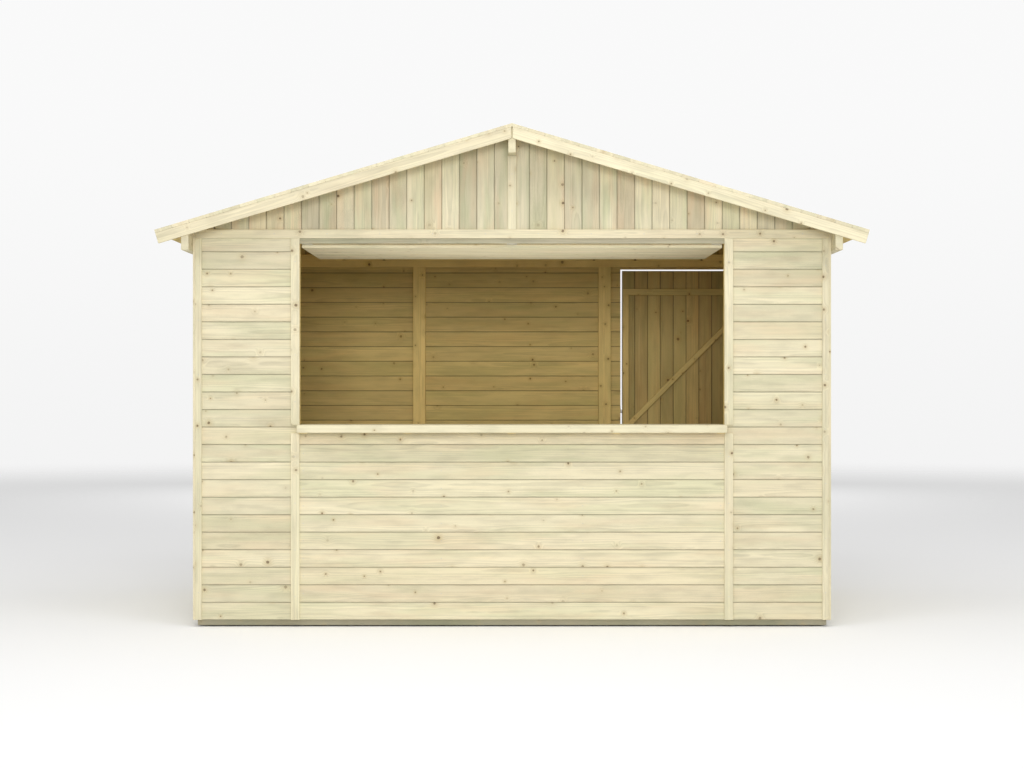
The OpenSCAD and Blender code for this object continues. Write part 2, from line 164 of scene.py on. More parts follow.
class Graph:
    """A material's node tree, with one method that makes any node."""

    def __init__(self, name):
        self.material = bpy.data.materials.new(name)
        self.material.use_nodes = True
        self.tree = self.material.node_tree
        self.tree.nodes.clear()

    def node(self, kind, settings, sockets):
        made = self.tree.nodes.new(kind)
        for key, value in settings.items():
            setattr(made, key, value)
        for key, value in sockets.items():
            socket = made.inputs[key]
            if isinstance(value, Signal):
                self.tree.links.new(value.socket, socket)
            else:
                socket.default_value = value
        return made

    def signal(self, kind, settings, sockets, output=0):
        return Signal(self, self.node(kind, settings, sockets).outputs[output])

    def attribute(self, name, output):
        return self.signal("ShaderNodeAttribute", {"attribute_name": name}, {}, output)

    def vector(self, x, y, z):
        return self.signal("ShaderNodeCombineXYZ", {}, {"X": x, "Y": y, "Z": z})

    def split(self, vector):
        made = self.node("ShaderNodeSeparateXYZ", {}, {"Vector": vector})
        return [Signal(self, socket) for socket in made.outputs]

    def noise(self, vector, scale=1.0, detail=2.0, roughness=0.5):
        return self.signal("ShaderNodeTexNoise", {}, {
            "Vector": vector, "Scale": scale, "Detail": detail, "Roughness": roughness}, "Fac")

    def mix(self, factor, first, second):
        return self.signal("ShaderNodeMix", {"data_type": "RGBA"}, {0: factor, 6: first, 7: second}, 2)

    def shade(self, colour, factor):
        """A colour made lighter or darker by a number that varies over the surface."""
        return self.signal("ShaderNodeVectorMath", {"operation": "SCALE"}, {
            0: colour if isinstance(colour, Signal) else colour[:3], "Scale": factor})

    def finish(self, colour, roughness, height, distance, **constants):
        bump = self.signal("ShaderNodeBump", {}, {"Height": height, "Distance": distance, "Strength": 1.0})
        shader = self.signal("ShaderNodeBsdfPrincipled", {}, {
            "Base Color": colour, "Roughness": roughness, "Normal": bump,
            **{key.replace("_", " "): value for key, value in constants.items()}})
        self.node("ShaderNodeOutputMaterial", {}, {"Surface": shader})
        return self.material


class Signal:
    """A shader socket that arithmetic adds Math nodes to."""

    def __init__(self, graph, socket):
        self.graph, self.socket = graph, socket

    def math(self, operation, *values, **settings):
        sockets = dict(enumerate(values))
        return self.graph.signal("ShaderNodeMath", {"operation": operation, **settings}, sockets)

    def __add__(self, other):
        return self.math("ADD", self, other)

    def __sub__(self, other):
        return self.math("SUBTRACT", self, other)

    def __rsub__(self, other):
        return self.math("SUBTRACT", other, self)

    def __mul__(self, other):
        return self.math("MULTIPLY", self, other)

    def __truediv__(self, other):
        return self.math("DIVIDE", self, other)

    def __pow__(self, other):
        return self.math("POWER", self, other)

    def __gt__(self, other):
        return self.math("GREATER_THAN", self, other)

    __radd__, __rmul__ = __add__, __mul__

    def clamp(self):
        return self.math("ADD", self, 0.0, use_clamp=True)

    def fraction(self):
        return self.math("FRACT", self)

    def exp(self):
        return self.math("EXPONENT", self)

    def root(self):
        return self.math("SQRT", self)

    def between(self, low, high):
        """0 below low and 1 above high, smooth between them."""
        return self.graph.signal("ShaderNodeMapRange", {"interpolation_type": "SMOOTHSTEP"}, {
            "Value": self, "From Min": low, "From Max": high})


def rgba(colour, factor=1.0):
    return (*(min(1.0, part * factor) for part in colour), 1.0)


KNOT_RADIUS = 4.6 * MM      # of the smallest knot
KNOT_GROWTH = 6.0 * MM      # how much larger the largest one is
KNOT_LUMPS = 5.0 * MM       # how uneven its outline is
KNOT_HALO = (0.47, 0.36, 0.18, 1.0)
NO_KNOT = 0.1 * MM          # keeps the halo's size above nothing where there is no knot
YEAR_WIDTH = 3.0 * MM       # least distance between growth rings
YEAR_GROWTH = 2.6 * MM      # how much wider they get on other boards
RING_WANDER, RING_RIPPLE, RING_BEND = 24 * MM, 2.2 * MM, 11 * MM    # slow, quick, and around a knot
LATE_DARK, FIBRE_DARK, STREAK_DARK, CLOUD_DARK = 0.20, 0.12, 0.26, 0.13
PAINTED_SEAM_SHADE, PAINTED_INNER_SEAM_SHADE = 0.30, 0.34     # painted shade in the joints: how much darker they are, and how much more inside


def softwood(name, brightness=1.0, greenness=0.5, tanness=0.5, spread=0.14, knot_cell=0.17,
             knot_skew=0.0):
    """Planed, pressure-treated softwood. It reads each piece's own grain: metres along it, and
    across it and through it from the heart of its tree. The spread is how much the boards differ
    in brightness. Knots lie in cells of knot_cell metres, and the skew takes them onto narrow
    faces."""
    wood = bpy.context.scene.stall_wood
    g = Graph(name)
    along, across, through = g.split(g.attribute("grain", "Vector"))
    tone = g.attribute("tone", "Fac")
    chance = g.split(g.signal("ShaderNodeTexWhiteNoise", {"noise_dimensions": "1D"},
                              {"W": tone * 97.0}, "Color"))
    shift = tone * 31.0     # moves every pattern on from board to board

    # Knots: a lumpy disc in some of the cells, with dark rings and a halo of bent grain.
    face = across + through * knot_skew
    cells = g.node("ShaderNodeTexVoronoi", {"voronoi_dimensions": "2D"}, {
        "Vector": g.vector(along / knot_cell + shift, face / knot_cell + shift, 0.0), "Scale": 1.0})
    reach = Signal(g, cells.outputs["Distance"]) * knot_cell
    luck = g.split(Signal(g, cells.outputs["Color"]))
    present = luck[0] > (1.0 - wood.knots)
    strength = luck[2] * 0.75 + 0.25
    radius = (luck[1] ** 2.0 * KNOT_GROWTH + KNOT_RADIUS) * present
    lumps = g.noise(g.vector(along * 110.0, face * 110.0, shift), 1.0, 1.0) - 0.5
    lumpy = reach + lumps * KNOT_LUMPS
    knot = ((radius - lumpy) * 420.0).clamp() * strength
    ratio = reach / (radius * 2.4 + NO_KNOT)
    halo = (ratio * ratio * -1.0).exp() * present

    # Growth rings around the tree's heart, light at first and dark at the end of each year.
    wander = g.noise(g.vector(along * 0.9, across * 5.0, shift), 1.0, 2.0) - 0.5
    ripple = g.noise(g.vector(along * 7.0, across * 26.0, shift), 1.0, 3.0) - 0.5
    heart = (across * across + through * through).root()
    year = chance[0] * YEAR_GROWTH + YEAR_WIDTH
    rings = (heart + wander * RING_WANDER + ripple * RING_RIPPLE + halo * RING_BEND) / year
    phase = rings.fraction()
    late = phase ** 2.2 * (1.0 - phase ** 20.0)

    # Fibres, streaks, and patches of green treatment and of tan heartwood.
    fine = g.noise(g.vector(along * 7.0, across * 480.0, through * 480.0), 1.0, 3.0, 0.6)
    streak = g.noise(g.vector(along * 1.3, across * 55.0, through * 55.0), 1.0, 4.0, 0.65)
    patch = g.noise(g.vector(along * 1.5 + shift, across * 10.0, shift), 1.0, 3.0)
    blot = g.noise(g.vector(along * 2.1, across * 12.0 + shift, shift), 1.0, 3.0)
    cloud = g.noise(g.vector(along * 5.0, across * 24.0, shift + 7.0), 1.0, 3.0)

    green = (patch.between(0.40, 0.64) * 0.9 + chance[1].between(0.5, 1.0) * 0.5) * greenness
    tan = (blot.between(0.46, 0.70) * 0.75 + chance[2].between(0.6, 1.0) * 0.6) * tanness
    colour = g.mix(green.clamp(), rgba(wood.pale, brightness), rgba(wood.green, brightness))
    colour = g.mix(tan.clamp(), colour, rgba(wood.tan, brightness))
    dark = ((1.0 - late * LATE_DARK) * (1.20 - fine * FIBRE_DARK - streak * STREAK_DARK)
            * (1.06 - cloud.between(0.40, 0.72) * CLOUD_DARK) * (1.0 - spread / 2 + chance[0] * spread))
    colour = g.shade(colour, dark)
    colour = g.mix((halo * strength * 0.6).clamp(), colour, KNOT_HALO)
    knot_rings = (lumpy * 620.0).fraction() * 0.5 + 0.65
    colour = g.mix(knot * 0.85, colour, g.shade(rgba(wood.knot), knot_rings))
    # Every inward face is multiplied by the inside tint, which makes the inside darker and yellower.
    inner = g.attribute("inner", "Fac")
    colour = g.signal("ShaderNodeMix", {"data_type": "RGBA", "blend_type": "MULTIPLY"}, {
        0: inner, 6: colour, 7: rgba(wood.inside)}, 2)
    # Painted shade in the joints: the faces of each joint's bevels and tongue are darkened, more on inward
    # faces.
    seam = g.attribute("seam", "Fac")
    colour = g.shade(colour, 1.0 - seam * (inner * PAINTED_INNER_SEAM_SHADE + PAINTED_SEAM_SHADE))

    roughness = 0.60 + fine * 0.16 - knot * 0.12
    height = late * 0.35 + fine * 0.5 + streak * 0.35 + knot * 0.35
    return g.finish(colour, roughness, height, 0.6 * MM, Specular_IOR_Level=0.3)


ZINC_DULL, ZINC_BRIGHT = (0.42, 0.43, 0.44, 1.0), (0.62, 0.63, 0.65, 1.0)


def zinc_steel(name):
    """Zinc-plated steel with a fine spangle and soft clouds."""
    g = Graph(name)
    place = Signal(g, g.node("ShaderNodeTexCoord", {}, {}).outputs["Object"])
    spangle = g.noise(place, 220.0, 3.0)
    cloud = g.noise(place, 30.0, 2.0)
    shine = (spangle * 0.6 + cloud * 0.4).between(0.3, 0.7)
    colour = g.mix(shine, ZINC_DULL, ZINC_BRIGHT)
    roughness = 0.32 + spangle * 0.16 + cloud * 0.08
    return g.finish(colour, roughness, spangle, 0.1 * MM, Metallic=1.0)


SAWN = {"knot_cell": 0.11, "knot_skew": 0.8}
MATERIALS = {
    "wall_boards": softwood,
    # Painted shade: the boards over the hatch opening are made darker and greener to stand in for the
    # shadow under the fascia strip.
    "header_boards": lambda name: softwood(name, 0.60, 0.6, 0.8),
    "gable_boards": lambda name: softwood(name, 0.95, 0.8, 0.9, 0.34),
    "trim": lambda name: softwood(name, 1.03, 0.3, 0.25, **SAWN),
    "counter_boards": lambda name: softwood(name, 1.03, 0.3, 0.25),
    "framing": lambda name: softwood(name, 1.22, 0.3, 0.45, **SAWN),
    "roof_boards": lambda name: softwood(name, 1.02, 0.35, 0.35),
    "floor_boards": lambda name: softwood(name, 0.85, 0.55, 0.5),
    # Painted shade: the floor's rims, joists and runners are made dark to stand in for the shadow under
    # the overhanging wall boards.
    "floor_framing": lambda name: softwood(name, 0.48, 0.7, 0.4, **SAWN),
    "door_boards": lambda name: softwood(name, 0.80, 0.55, 0.7, 0.3),
    "door_framing": lambda name: softwood(name, 1.0, 0.35, 0.5, **SAWN),
    "zinc_steel": zinc_steel,
}


def material(name):
    """The named material, made when it is first asked for."""
    return bpy.data.materials.get("stall_" + name) or MATERIALS[name]("stall_" + name)


# ---------------------------------------------------------------- modelling

FACING = 0.99   # least part of a face's normal along an axis for it to look that way
FLAT = 0.95     # more than this for a board's face, less for the bevels of its joints
TURNED = 0.3    # least part of the normal for a face to count as looking inwards


def deselect():
    for each in bpy.context.selected_objects:
        each.select_set(False)


def pick(*objects):
    deselect()
    for each in objects:
        each.select_set(True)
    bpy.context.view_layer.objects.active = objects[0]


def bake_place(piece):
    """Moves a piece's turn, size and place into its mesh."""
    pick(piece)
    bpy.ops.object.transform_apply(location=True, rotation=True, scale=True)


def join(pieces):
    pick(*pieces)
    if len(pieces) > 1:
        bpy.ops.object.join()
    return bpy.context.view_layer.objects.active


def copy_of(piece):
    twin = piece.copy()
    twin.data = piece.data.copy()
    bpy.context.scene.collection.objects.link(twin)
    return twin


def cube(low, high):
    deselect()
    low, high = Vector(low), Vector(high)
    bpy.ops.mesh.primitive_cube_add(size=1, location=(low + high) / 2, scale=high - low)
    made = bpy.context.object
    bake_place(made)
    return made


def edit(piece, kind):
    """Edit mode with nothing selected, for vertices, edges or faces."""
    pick(piece)
    bpy.ops.object.mode_set(mode="EDIT")
    bpy.ops.mesh.select_mode(type=kind)
    bpy.ops.mesh.select_all(action="DESELECT")
    bpy.ops.object.mode_set(mode="OBJECT")


def choose(items, test):
    """Selects the edges or faces that pass a test, then enters edit mode."""
    for each in items:
        each.select = test(each)
    bpy.ops.object.mode_set(mode="EDIT")


def leave():
    bpy.ops.object.mode_set(mode="OBJECT")


def repeat(piece, count, step):
    """Repeats a piece count times by a step."""
    pick(piece)
    array = piece.modifiers.new("Repeat", "ARRAY")
    array.count = count
    array.use_relative_offset = False
    array.use_constant_offset = True
    array.constant_offset_displace = step
    bpy.ops.object.modifier_apply(modifier=array.name)


def cut(piece, place, away):
    """Cuts off and closes what lies on the away side of a plane."""
    pick(piece)
    bpy.ops.object.mode_set(mode="EDIT")
    bpy.ops.mesh.select_all(action="SELECT")
    bpy.ops.mesh.bisect(plane_co=place, plane_no=away, use_fill=True, clear_outer=True, threshold=1e-6)
    leave()


def corners(mesh):
    found = np.empty(len(mesh.vertices) * 3)
    mesh.vertices.foreach_get("co", found)
    return found.reshape(-1, 3)


def islands(mesh):
    """The vertex numbers of each separate solid of a mesh whose doubles are merged."""
    parent = list(range(len(mesh.vertices)))

    def root(i):
        while parent[i] != i:
            parent[i] = parent[parent[i]]
            i = parent[i]
        return i

    for edge in mesh.edges:
        parent[root(edge.vertices[0])] = root(edge.vertices[1])
    groups = {}
    for i in range(len(parent)):
        groups.setdefault(root(i), []).append(i)
    return [groups[key] for key in sorted(groups)]


def along_axis(axis, length):
    """A vector of a length along one axis."""
    made = Vector((0, 0, 0))
    made[axis] = length
    return made


def write_grain(mesh, grain, tone, inner, seam):
    """Writes what the wood's material reads: the grain, a number for each board's looks, and
    for each face 1 or 0 for whether it looks inwards and whether it is part of a joint."""
    vectors = mesh.attributes.new("grain", "FLOAT_VECTOR", "POINT")
    vectors.data.foreach_set("vector", grain.astype(np.float32).ravel())
    layers = (("tone", "POINT", tone), ("inner", "FACE", inner), ("seam", "FACE", seam))
    for name, domain, values in layers:
        layer = mesh.attributes.new(name, "FLOAT", domain)
        layer.data.foreach_set("value", np.asarray(values, dtype=np.float32))


LEAST_HALF_WIDTH = 30 * MM  # a narrow timber lies in its tree as if it were twice this wide
LOG_LENGTH = 60             # metres of tree along which the boards begin


def grow(places, draw, half_width):
    """Grain for one board: its places along, across and through it, from the heart of its tree."""
    heart_side = draw.uniform(-1.2, 1.2) * half_width
    heart_depth = draw.choice((-1, 1)) * draw.uniform(0.5, 2.6) * half_width
    return places + np.array([draw.uniform(0, LOG_LENGTH), heart_side, heart_depth])


def finish(piece, name, body, slot, look, *nodes):
    piece.name = name
    piece.data.name = name
    piece.data.materials.clear()
    piece.data.materials.append(material(look))
    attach(piece, body)
    if nodes:
        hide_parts(*nodes)
    deselect()


def solid_copy(node):
    """A copy of a CAD node with its doubles merged and its flat faces whole."""
    mesh = frame["nodes"][node].data.copy()
    for layer in list(mesh.uv_layers):
        mesh.uv_layers.remove(layer)
    made = bpy.data.objects.new(node + "_copy", mesh)
    bpy.context.scene.collection.objects.link(made)
    pick(made)
    bpy.ops.object.mode_set(mode="EDIT")
    bpy.ops.mesh.select_all(action="SELECT")
    bpy.ops.mesh.customdata_custom_splitnormals_clear()
    bpy.ops.mesh.remove_doubles(threshold=1e-5)
    bpy.ops.mesh.dissolve_limited(angle_limit=math.radians(1))
    bpy.ops.mesh.normals_make_consistent(inside=False)
    leave()
    return made


def solid_boxes(node):
    """The lowest and highest corner of each solid of a CAD node, from left to right."""
    made = solid_copy(node)
    places = corners(made.data)
    found = [(Vector(places[g].min(0)), Vector(places[g].max(0))) for g in islands(made.data)]
    bpy.data.objects.remove(made)
    return sorted(found, key=lambda pair: tuple(round(value, 4) for value in pair[0]))


def round_edges(piece, radius, segments=2, limit=20):
    """Rounds every edge that turns by more than a limit in degrees."""
    pick(piece)
    bevel = piece.modifiers.new("Arris", "BEVEL")
    bevel.width = radius
    bevel.segments = segments
    bevel.limit_method = "ANGLE"
    bevel.angle_limit = math.radians(limit)
    bevel.harden_normals = False
    bpy.ops.object.modifier_apply(modifier=bevel.name)


def timber(node, body, slot, look, radius, segments=2, inner=1.0):
    """A CAD node's sawn pieces with rounded edges, each with its own grain along its length."""
    draw = random.Random(node)
    made = solid_copy(node)
    round_edges(made, radius, segments)
    places = corners(made.data)
    grain = np.empty_like(places)
    tone = np.empty(len(places))
    for group in islands(made.data):
        own = places[group]
        middle = (own.min(0) + own.max(0)) / 2
        _, _, axes = np.linalg.svd(own - own.mean(0), full_matrices=False)
        local = (own - middle) @ axes.T
        half = (local[:, 1].max() - local[:, 1].min()) / 2
        grain[group] = grow(local, draw, max(half, LEAST_HALF_WIDTH))
        tone[group] = draw.random()
    faces = len(made.data.polygons)
    write_grain(made.data, grain, tone, [inner] * faces, [0.0] * faces)
    finish(made, node + "_timbers", body, slot, look, node)


def board_sheet(label, low, high, run, stack, start, cover, outer, front_groove, back_groove):
    """Tongue and groove boards side by side, filling a box: they run along one axis and are
    stacked along another, and outer is the sign of their face side on the third."""
    joint = bpy.context.scene.stall_boards.joint
    draw = random.Random(label)
    low, high = Vector(low), Vector(high)
    through = 3 - run - stack
    slack = 1e-4    # part of a board
    first = math.floor((low[stack] - start) / cover + slack)
    count = math.ceil((high[stack] - start) / cover - slack) - first
    foot, head = low.copy(), high.copy()
    foot[stack] = start + first * cover
    head[stack] = foot[stack] + cover - joint
    sheet = cube(foot, head)
    middle = (low[through] + high[through]) / 2

    def along_run(edge, side):
        a, b = (sheet.data.vertices[i].co for i in edge.vertices)
        on_side = all((end[through] - middle) * side > 0 for end in (a, b))
        return on_side and abs(a[run] - b[run]) > TOUCH

    for side, width in ((outer, front_groove), (-outer, back_groove)):
        edit(sheet, "EDGE")
        choose(sheet.data.edges, lambda edge: along_run(edge, side))
        bpy.ops.mesh.bevel(offset=width, segments=2, affect="EDGES", clamp_overlap=False)
        leave()
    edit(sheet, "FACE")
    choose(sheet.data.polygons, lambda face: face.normal[stack] > FACING)
    bpy.ops.mesh.inset(thickness=TONGUE_SHOULDER)
    bpy.ops.mesh.extrude_region_move(TRANSFORM_OT_translate={"value": along_axis(stack, joint)})
    leave()
    each = len(sheet.data.vertices)
    repeat(sheet, count, along_axis(stack, cover))
    places = corners(sheet.data)
    order = [run, stack, through]
    centre = (low + high) / 2
    grain = np.empty_like(places)
    tone = np.empty(len(places))
    for i in range(count):
        own = slice(i * each, (i + 1) * each)
        local = places[own][:, order].copy()
        local -= np.array([centre[run], foot[stack] + (i + 0.5) * cover, centre[through]])
        grain[own] = grow(local, draw, cover / 2)
        tone[own] = draw.random()
    normals = [face.normal for face in sheet.data.polygons]
    inward = [normal[through] * outer < -TURNED for normal in normals]
    seam = [abs(normal[through]) < FLAT and abs(normal[run]) < FLAT for normal in normals]
    write_grain(sheet.data, grain, tone, inward, seam)
    for bound, away in ((low, -1), (high, 1)):
        edge = foot[stack] + (0 if away < 0 else count * cover)
        if abs(edge - bound[stack]) > TOUCH:
            cut(sheet, bound, along_axis(stack, away))
    return sheet


def lay_boards(node, body, slot, look, run, stack, start, cover, outer, trims=(), grooves=None):
    """Boards in place of a CAD node, one sheet for each of its solids, trimmed by planes."""
    boards = bpy.context.scene.stall_boards
    grooves = grooves or (boards.groove, boards.inner_groove)
    sheet = join([board_sheet(f"{node}{i}", low, high, run, stack, start, cover, outer, *grooves)
                  for i, (low, high) in enumerate(solid_boxes(node))])
    for place, away in trims:
        cut(sheet, place, away)
    name = node.replace("boards", "planks") if node.endswith("boards") else node + "_planks"
    finish(sheet, name, body, slot, look, node)


def roof_line():
    """The height of the roof's underside at the ridge, and its slope as an angle."""
    places = corners(frame["nodes"]["roof_right"].data)
    ridge = places[np.abs(places[:, 0]) < TOUCH]
    eave_top = places[places[:, 0].argmax()]
    return ridge[:, 2].min(), math.atan((ridge[:, 2].max() - eave_top[2]) / eave_top[0])


def domed_head(radius):
    """The head of a nail or screw, a low dome on a round foot that looks up."""
    rim = foot = radius * 0.4
    rise = foot * 0.4
    deselect()
    bpy.ops.mesh.primitive_cylinder_add(vertices=8, radius=radius, depth=foot)
    made = bpy.context.object
    bake_place(made)
    edit(made, "FACE")
    choose(made.data.polygons, lambda face: face.normal.z > FACING)
    bpy.ops.mesh.inset(thickness=rim)
    bpy.ops.transform.translate(value=(0, 0, rise))
    leave()
    return made


def drive(name, body, radius, spots):
    """Nails or screws, one head at each place, which looks the way given with the place."""
    head = domed_head(radius)
    heads = []
    for place, outward in spots:
        twin = copy_of(head)
        twin.location = place
        twin.rotation_euler = outward.to_track_quat("Z", "Y").to_euler()
        heads.append(twin)
    bpy.data.objects.remove(head)
    made = join(heads)
    bake_place(made)
    finish(made, name, body, "zinc_steel", "zinc_steel")


def strip_spots(node, pitch):
    """Places for nails down the middle of each strip of a node, on its outer face."""
    spots = []
    for low, high in solid_boxes(node):
        size = list(high - low)
        length, thin = size.index(max(size)), size.index(min(size))
        outward = along_axis(thin, math.copysign(1, low[thin]))
        count = max(2, round(size[length] / pitch))
        for i in range(count):
            place = (low + high) / 2
            place[thin] = high[thin] if low[thin] > 0 else low[thin]
            place[length] = low[length] + (i + 0.5) * size[length] / count
            spots.append((place, outward))
    return spots


def board_spots(sheet, bearers, stack, start, cover, outer, hidden):
    """Places for nails where the boards of a sheet cross the bearers behind, if nothing lies
    over them."""
    low, high = sheet
    size = list(high - low)
    thin = size.index(min(size))
    run = 3 - stack - thin
    outward = along_axis(thin, outer)
    place = high.copy() if outer > 0 else low.copy()
    spots = []
    for near, far in bearers:
        place[run] = (near[run] + far[run]) / 2
        behind = near[thin] < high[thin] + MM and far[thin] > low[thin] - MM
        if not behind or not low[run] < place[run] < high[run]:
            continue
        first = math.ceil((max(low[stack], near[stack]) - start) / cover - 0.5)
        last = math.floor((min(high[stack], far[stack]) - start) / cover - 0.5)
        for i in range(first, last + 1):
            place[stack] = start + (i + 0.5) * cover
            if not any(all(a[axis] - NAIL_MARGIN < place[axis] < b[axis] + NAIL_MARGIN
                           for axis in range(3)) for a, b in hidden):
                spots.append((place.copy(), outward))
    return spots


def screw_spots(box, face, across, up):
    """Places for screws on a plate of the back wall, at parts of its width and height."""
    low, size = box[0], box[1] - box[0]
    return [(Vector((low.x + size.x * part, face, low.z + size.z * rise)), along_axis(Y, 1))
            for part in across for rise in up]


def hatch_joint():
    """Where a joint of the folded hatch lies, so that its boards follow the wall's when it is shut."""
    pin = Vector(next(j["pos_m"] for j in frame["joints"] if j["name"] == "hatch_fold"))
    rows_below = 30     # more than the hatch has
    return pin.y + pin.z - CLADDING_FOOT - rows_below * bpy.context.scene.stall_boards.cover


# ---------------------------------------------------------------- pieces

class STALL_OT_wall_boards(bpy.types.Operator):
    """Lays the tongue and groove boards of the four walls"""
    bl_idname = "stall.wall_boards"
    bl_label = "Wall Boards"

    def execute(self, context):
        scene = context.scene
        cover = scene.stall_boards.cover
        for node, look in (("front_wall_left", "wall_boards"), ("front_wall_right", "wall_boards"),
                           ("front_wall_centre", "wall_boards"), ("front_wall_header", "header_boards")):
            lay_boards(node, "stall", "wall_boards", look, X, Z, CLADDING_FOOT, cover, -1)
        for node in ("back_wall_left", "back_wall_middle", "back_wall_beside_door",
                     "back_wall_over_door"):
            lay_boards(node, "stall", "wall_boards", "wall_boards", X, Z, CLADDING_FOOT, cover, 1)
        under, slope = roof_line()
        for node, side in (("left_wall", -1), ("right_wall", 1)):
            top = [((0, 0, under), (side * math.sin(slope), 0, math.cos(slope)))]
            lay_boards(node, "stall", "wall_boards", "wall_boards", Y, Z, CLADDING_FOOT, cover,
                       side, top)
        return {"FINISHED"}


class STALL_OT_gables(bpy.types.Operator):
    """Lays the upright boards of the two gables, outwards from the middle joint"""
    bl_idname = "stall.gables"
    bl_label = "Gables"

    def execute(self, context):
        scene = context.scene
        under, slope = roof_line()
        slopes = [((0, 0, under), (side * math.sin(slope), 0, math.cos(slope))) for side in (-1, 1)]
        for node, side in (("front_gable", -1), ("back_gable", 1)):
            lay_boards(node, "stall", "wall_boards", "gable_boards", Z, X, 0.0,
                       scene.stall_boards.cover, side, slopes)
        return {"FINISHED"}


class STALL_OT_roof(bpy.types.Operator):
    """Lays the roof boards on each slope, from the eaves up to the ridge"""
    bl_idname = "stall.roof"
    bl_label = "Roof Boards"

    def execute(self, context):
        scene = context.scene
        under, slope = roof_line()
        low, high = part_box("roof_right")
        thick = (high.z - under) * math.cos(slope)
        length = high.x / math.cos(slope)
        rise = thick * math.tan(slope)
        past_ridge = 10 * MM    # cut off again at the ridge
        for node, side in (("roof_left", -1), ("roof_right", 1)):
            foot = Vector((-length + rise, low.y, 0))
            head = Vector((rise + past_ridge, high.y, thick))
            sheet = board_sheet(node, foot, head, Y, X, foot.x, scene.stall_boards.cover, 1,
                                CLOSE_GROOVE, scene.stall_boards.inner_groove)
            if side > 0:
                sheet.scale = (-1, 1, 1)
                bake_place(sheet)
                pick(sheet)
                bpy.ops.object.mode_set(mode="EDIT")
                bpy.ops.mesh.select_all(action="SELECT")
                bpy.ops.mesh.normals_make_consistent(inside=False)
                leave()
            sheet.rotation_euler = (0, side * slope, 0)
            sheet.location = (0, 0, under)
            bake_place(sheet)
            cut(sheet, (0, 0, 0), (-side, 0, 0))
            finish(sheet, node + "_planks", "stall", "roof_boards", "roof_boards", node)
        return {"FINISHED"}


class STALL_OT_floor(bpy.types.Operator):
    """Lays the floor boards on their joists, rims and runners"""
    bl_idname = "stall.floor"
    bl_label = "Floor"

    def execute(self, context):
        scene = context.scene
        low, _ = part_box("floor_boards")
        lay_boards("floor_boards", "stall", "floor_timber", "floor_boards", X, Y, low.y,
                   scene.stall_boards.cover, 1, grooves=(CLOSE_GROOVE, CLOSE_GROOVE))
        for node in ("floor_runners", "floor_rims", "floor_joists"):
            timber(node, "stall", "floor_timber", "floor_framing", scene.stall_timber.arris, inner=0.0)
        return {"FINISHED"}


class STALL_OT_framing(bpy.types.Operator):
    """Makes the studs, rails, gable frames and roof beams"""
    bl_idname = "stall.framing"
    bl_label = "Framing"

    def execute(self, context):
        scene = context.scene
        for node in ("front_studs", "front_rails", "counter_studs", "side_studs", "side_rails",
                     "back_studs", "back_rails", "gable_rails", "gable_frames"):
            timber(node, "stall", "frame_timber", "framing", scene.stall_timber.arris)
        timber("roof_beams", "stall", "frame_timber", "trim", scene.stall_timber.arris, inner=0.0)
        return {"FINISHED"}


class STALL_OT_trim(bpy.types.Operator):
    """Makes the cover strips, corner strips, fascias and bargeboards"""
    bl_idname = "stall.trim"
    bl_label = "Trim"

    def execute(self, context):
        scene = context.scene
        for node in ("cover_strips", "side_strips", "fascia_strips", "bargeboards"):
            timber(node, "stall", "trim", "trim", scene.stall_timber.trim_arris, inner=0.0)
        return {"FINISHED"}


class STALL_OT_counter(bpy.types.Operator):
    """Makes the counter: its rounded rails, its boards and the bearers under them"""
    bl_idname = "stall.counter"
    bl_label = "Counter"

    def execute(self, context):
        scene = context.scene
        timber("counter_rails", "stall", "trim", "trim", scene.stall_timber.counter_round, 4, 0.0)
        low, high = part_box("counter_boards")
        lay_boards("counter_boards", "stall", "trim", "counter_boards", X, Y, low.y,
                   (high.y - low.y) / 2, 1, grooves=(COUNTER_GROOVE, COUNTER_GROOVE))
        timber("counter_bearers", "stall", "frame_timber", "framing", scene.stall_timber.arris)
        return {"FINISHED"}


class STALL_OT_hatch(bpy.types.Operator):
    """Makes the folded-up hatch: its boards and the battens on them"""
    bl_idname = "stall.hatch"
    bl_label = "Hatch"

    def execute(self, context):
        scene = context.scene
        lay_boards("hatch_boards", "hatch", "wall_boards", "wall_boards", X, Y,
                   hatch_joint(), scene.stall_boards.cover, -1)
        timber("hatch_battens", "hatch", "frame_timber", "trim", scene.stall_timber.arris, inner=0.0)
        return {"FINISHED"}


class STALL_OT_door(bpy.types.Operator):
    """Makes the door: upright boards with ledges, stiles and braces inside"""
    bl_idname = "stall.door"
    bl_label = "Door"

    def execute(self, context):
        scene = context.scene
        low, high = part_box("door_boards")
        cover = (high.x - low.x) / scene.stall_boards.door_boards
        lay_boards("door_boards", "door", "door_timber", "door_boards", Z, X, low.x, cover, 1)
        for node in ("door_ledges", "door_stiles", "door_braces"):
            timber(node, "door", "door_timber", "door_framing", scene.stall_timber.arris)
        return {"FINISHED"}


class STALL_OT_fittings(bpy.types.Operator):
    """Makes the hinges and the hasp, with rounded edges"""
    bl_idname = "stall.fittings"
    bl_label = "Hinges and Hasp"

    def execute(self, context):
        for node, body, edge in (("hatch_hinge_straps", "hatch", FINE_EDGE),
                                 ("hinge_leaves", "stall", FINE_EDGE),
                                 ("door_hinge_straps", "door", PLATE_EDGE),
                                 ("door_hasp", "door", PLATE_EDGE)):
            made = solid_copy(node)
            round_edges(made, edge, limit=KNUCKLE_TURN)
            pick(made)
            bpy.ops.object.shade_smooth_by_angle(angle=math.radians(30))
            finish(made, node + "_steel", body, "zinc_steel", "zinc_steel", node)
        return {"FINISHED"}


# Places of the screws, as parts of a plate's width and of its height.
STRAP_SCREWS = (0.07, 0.3, 0.53, 0.76), (0.5,)
HASP_SCREWS = (0.82,), (0.25, 0.75)
LEAF_SCREWS = (0.65,), (0.2, 0.8)


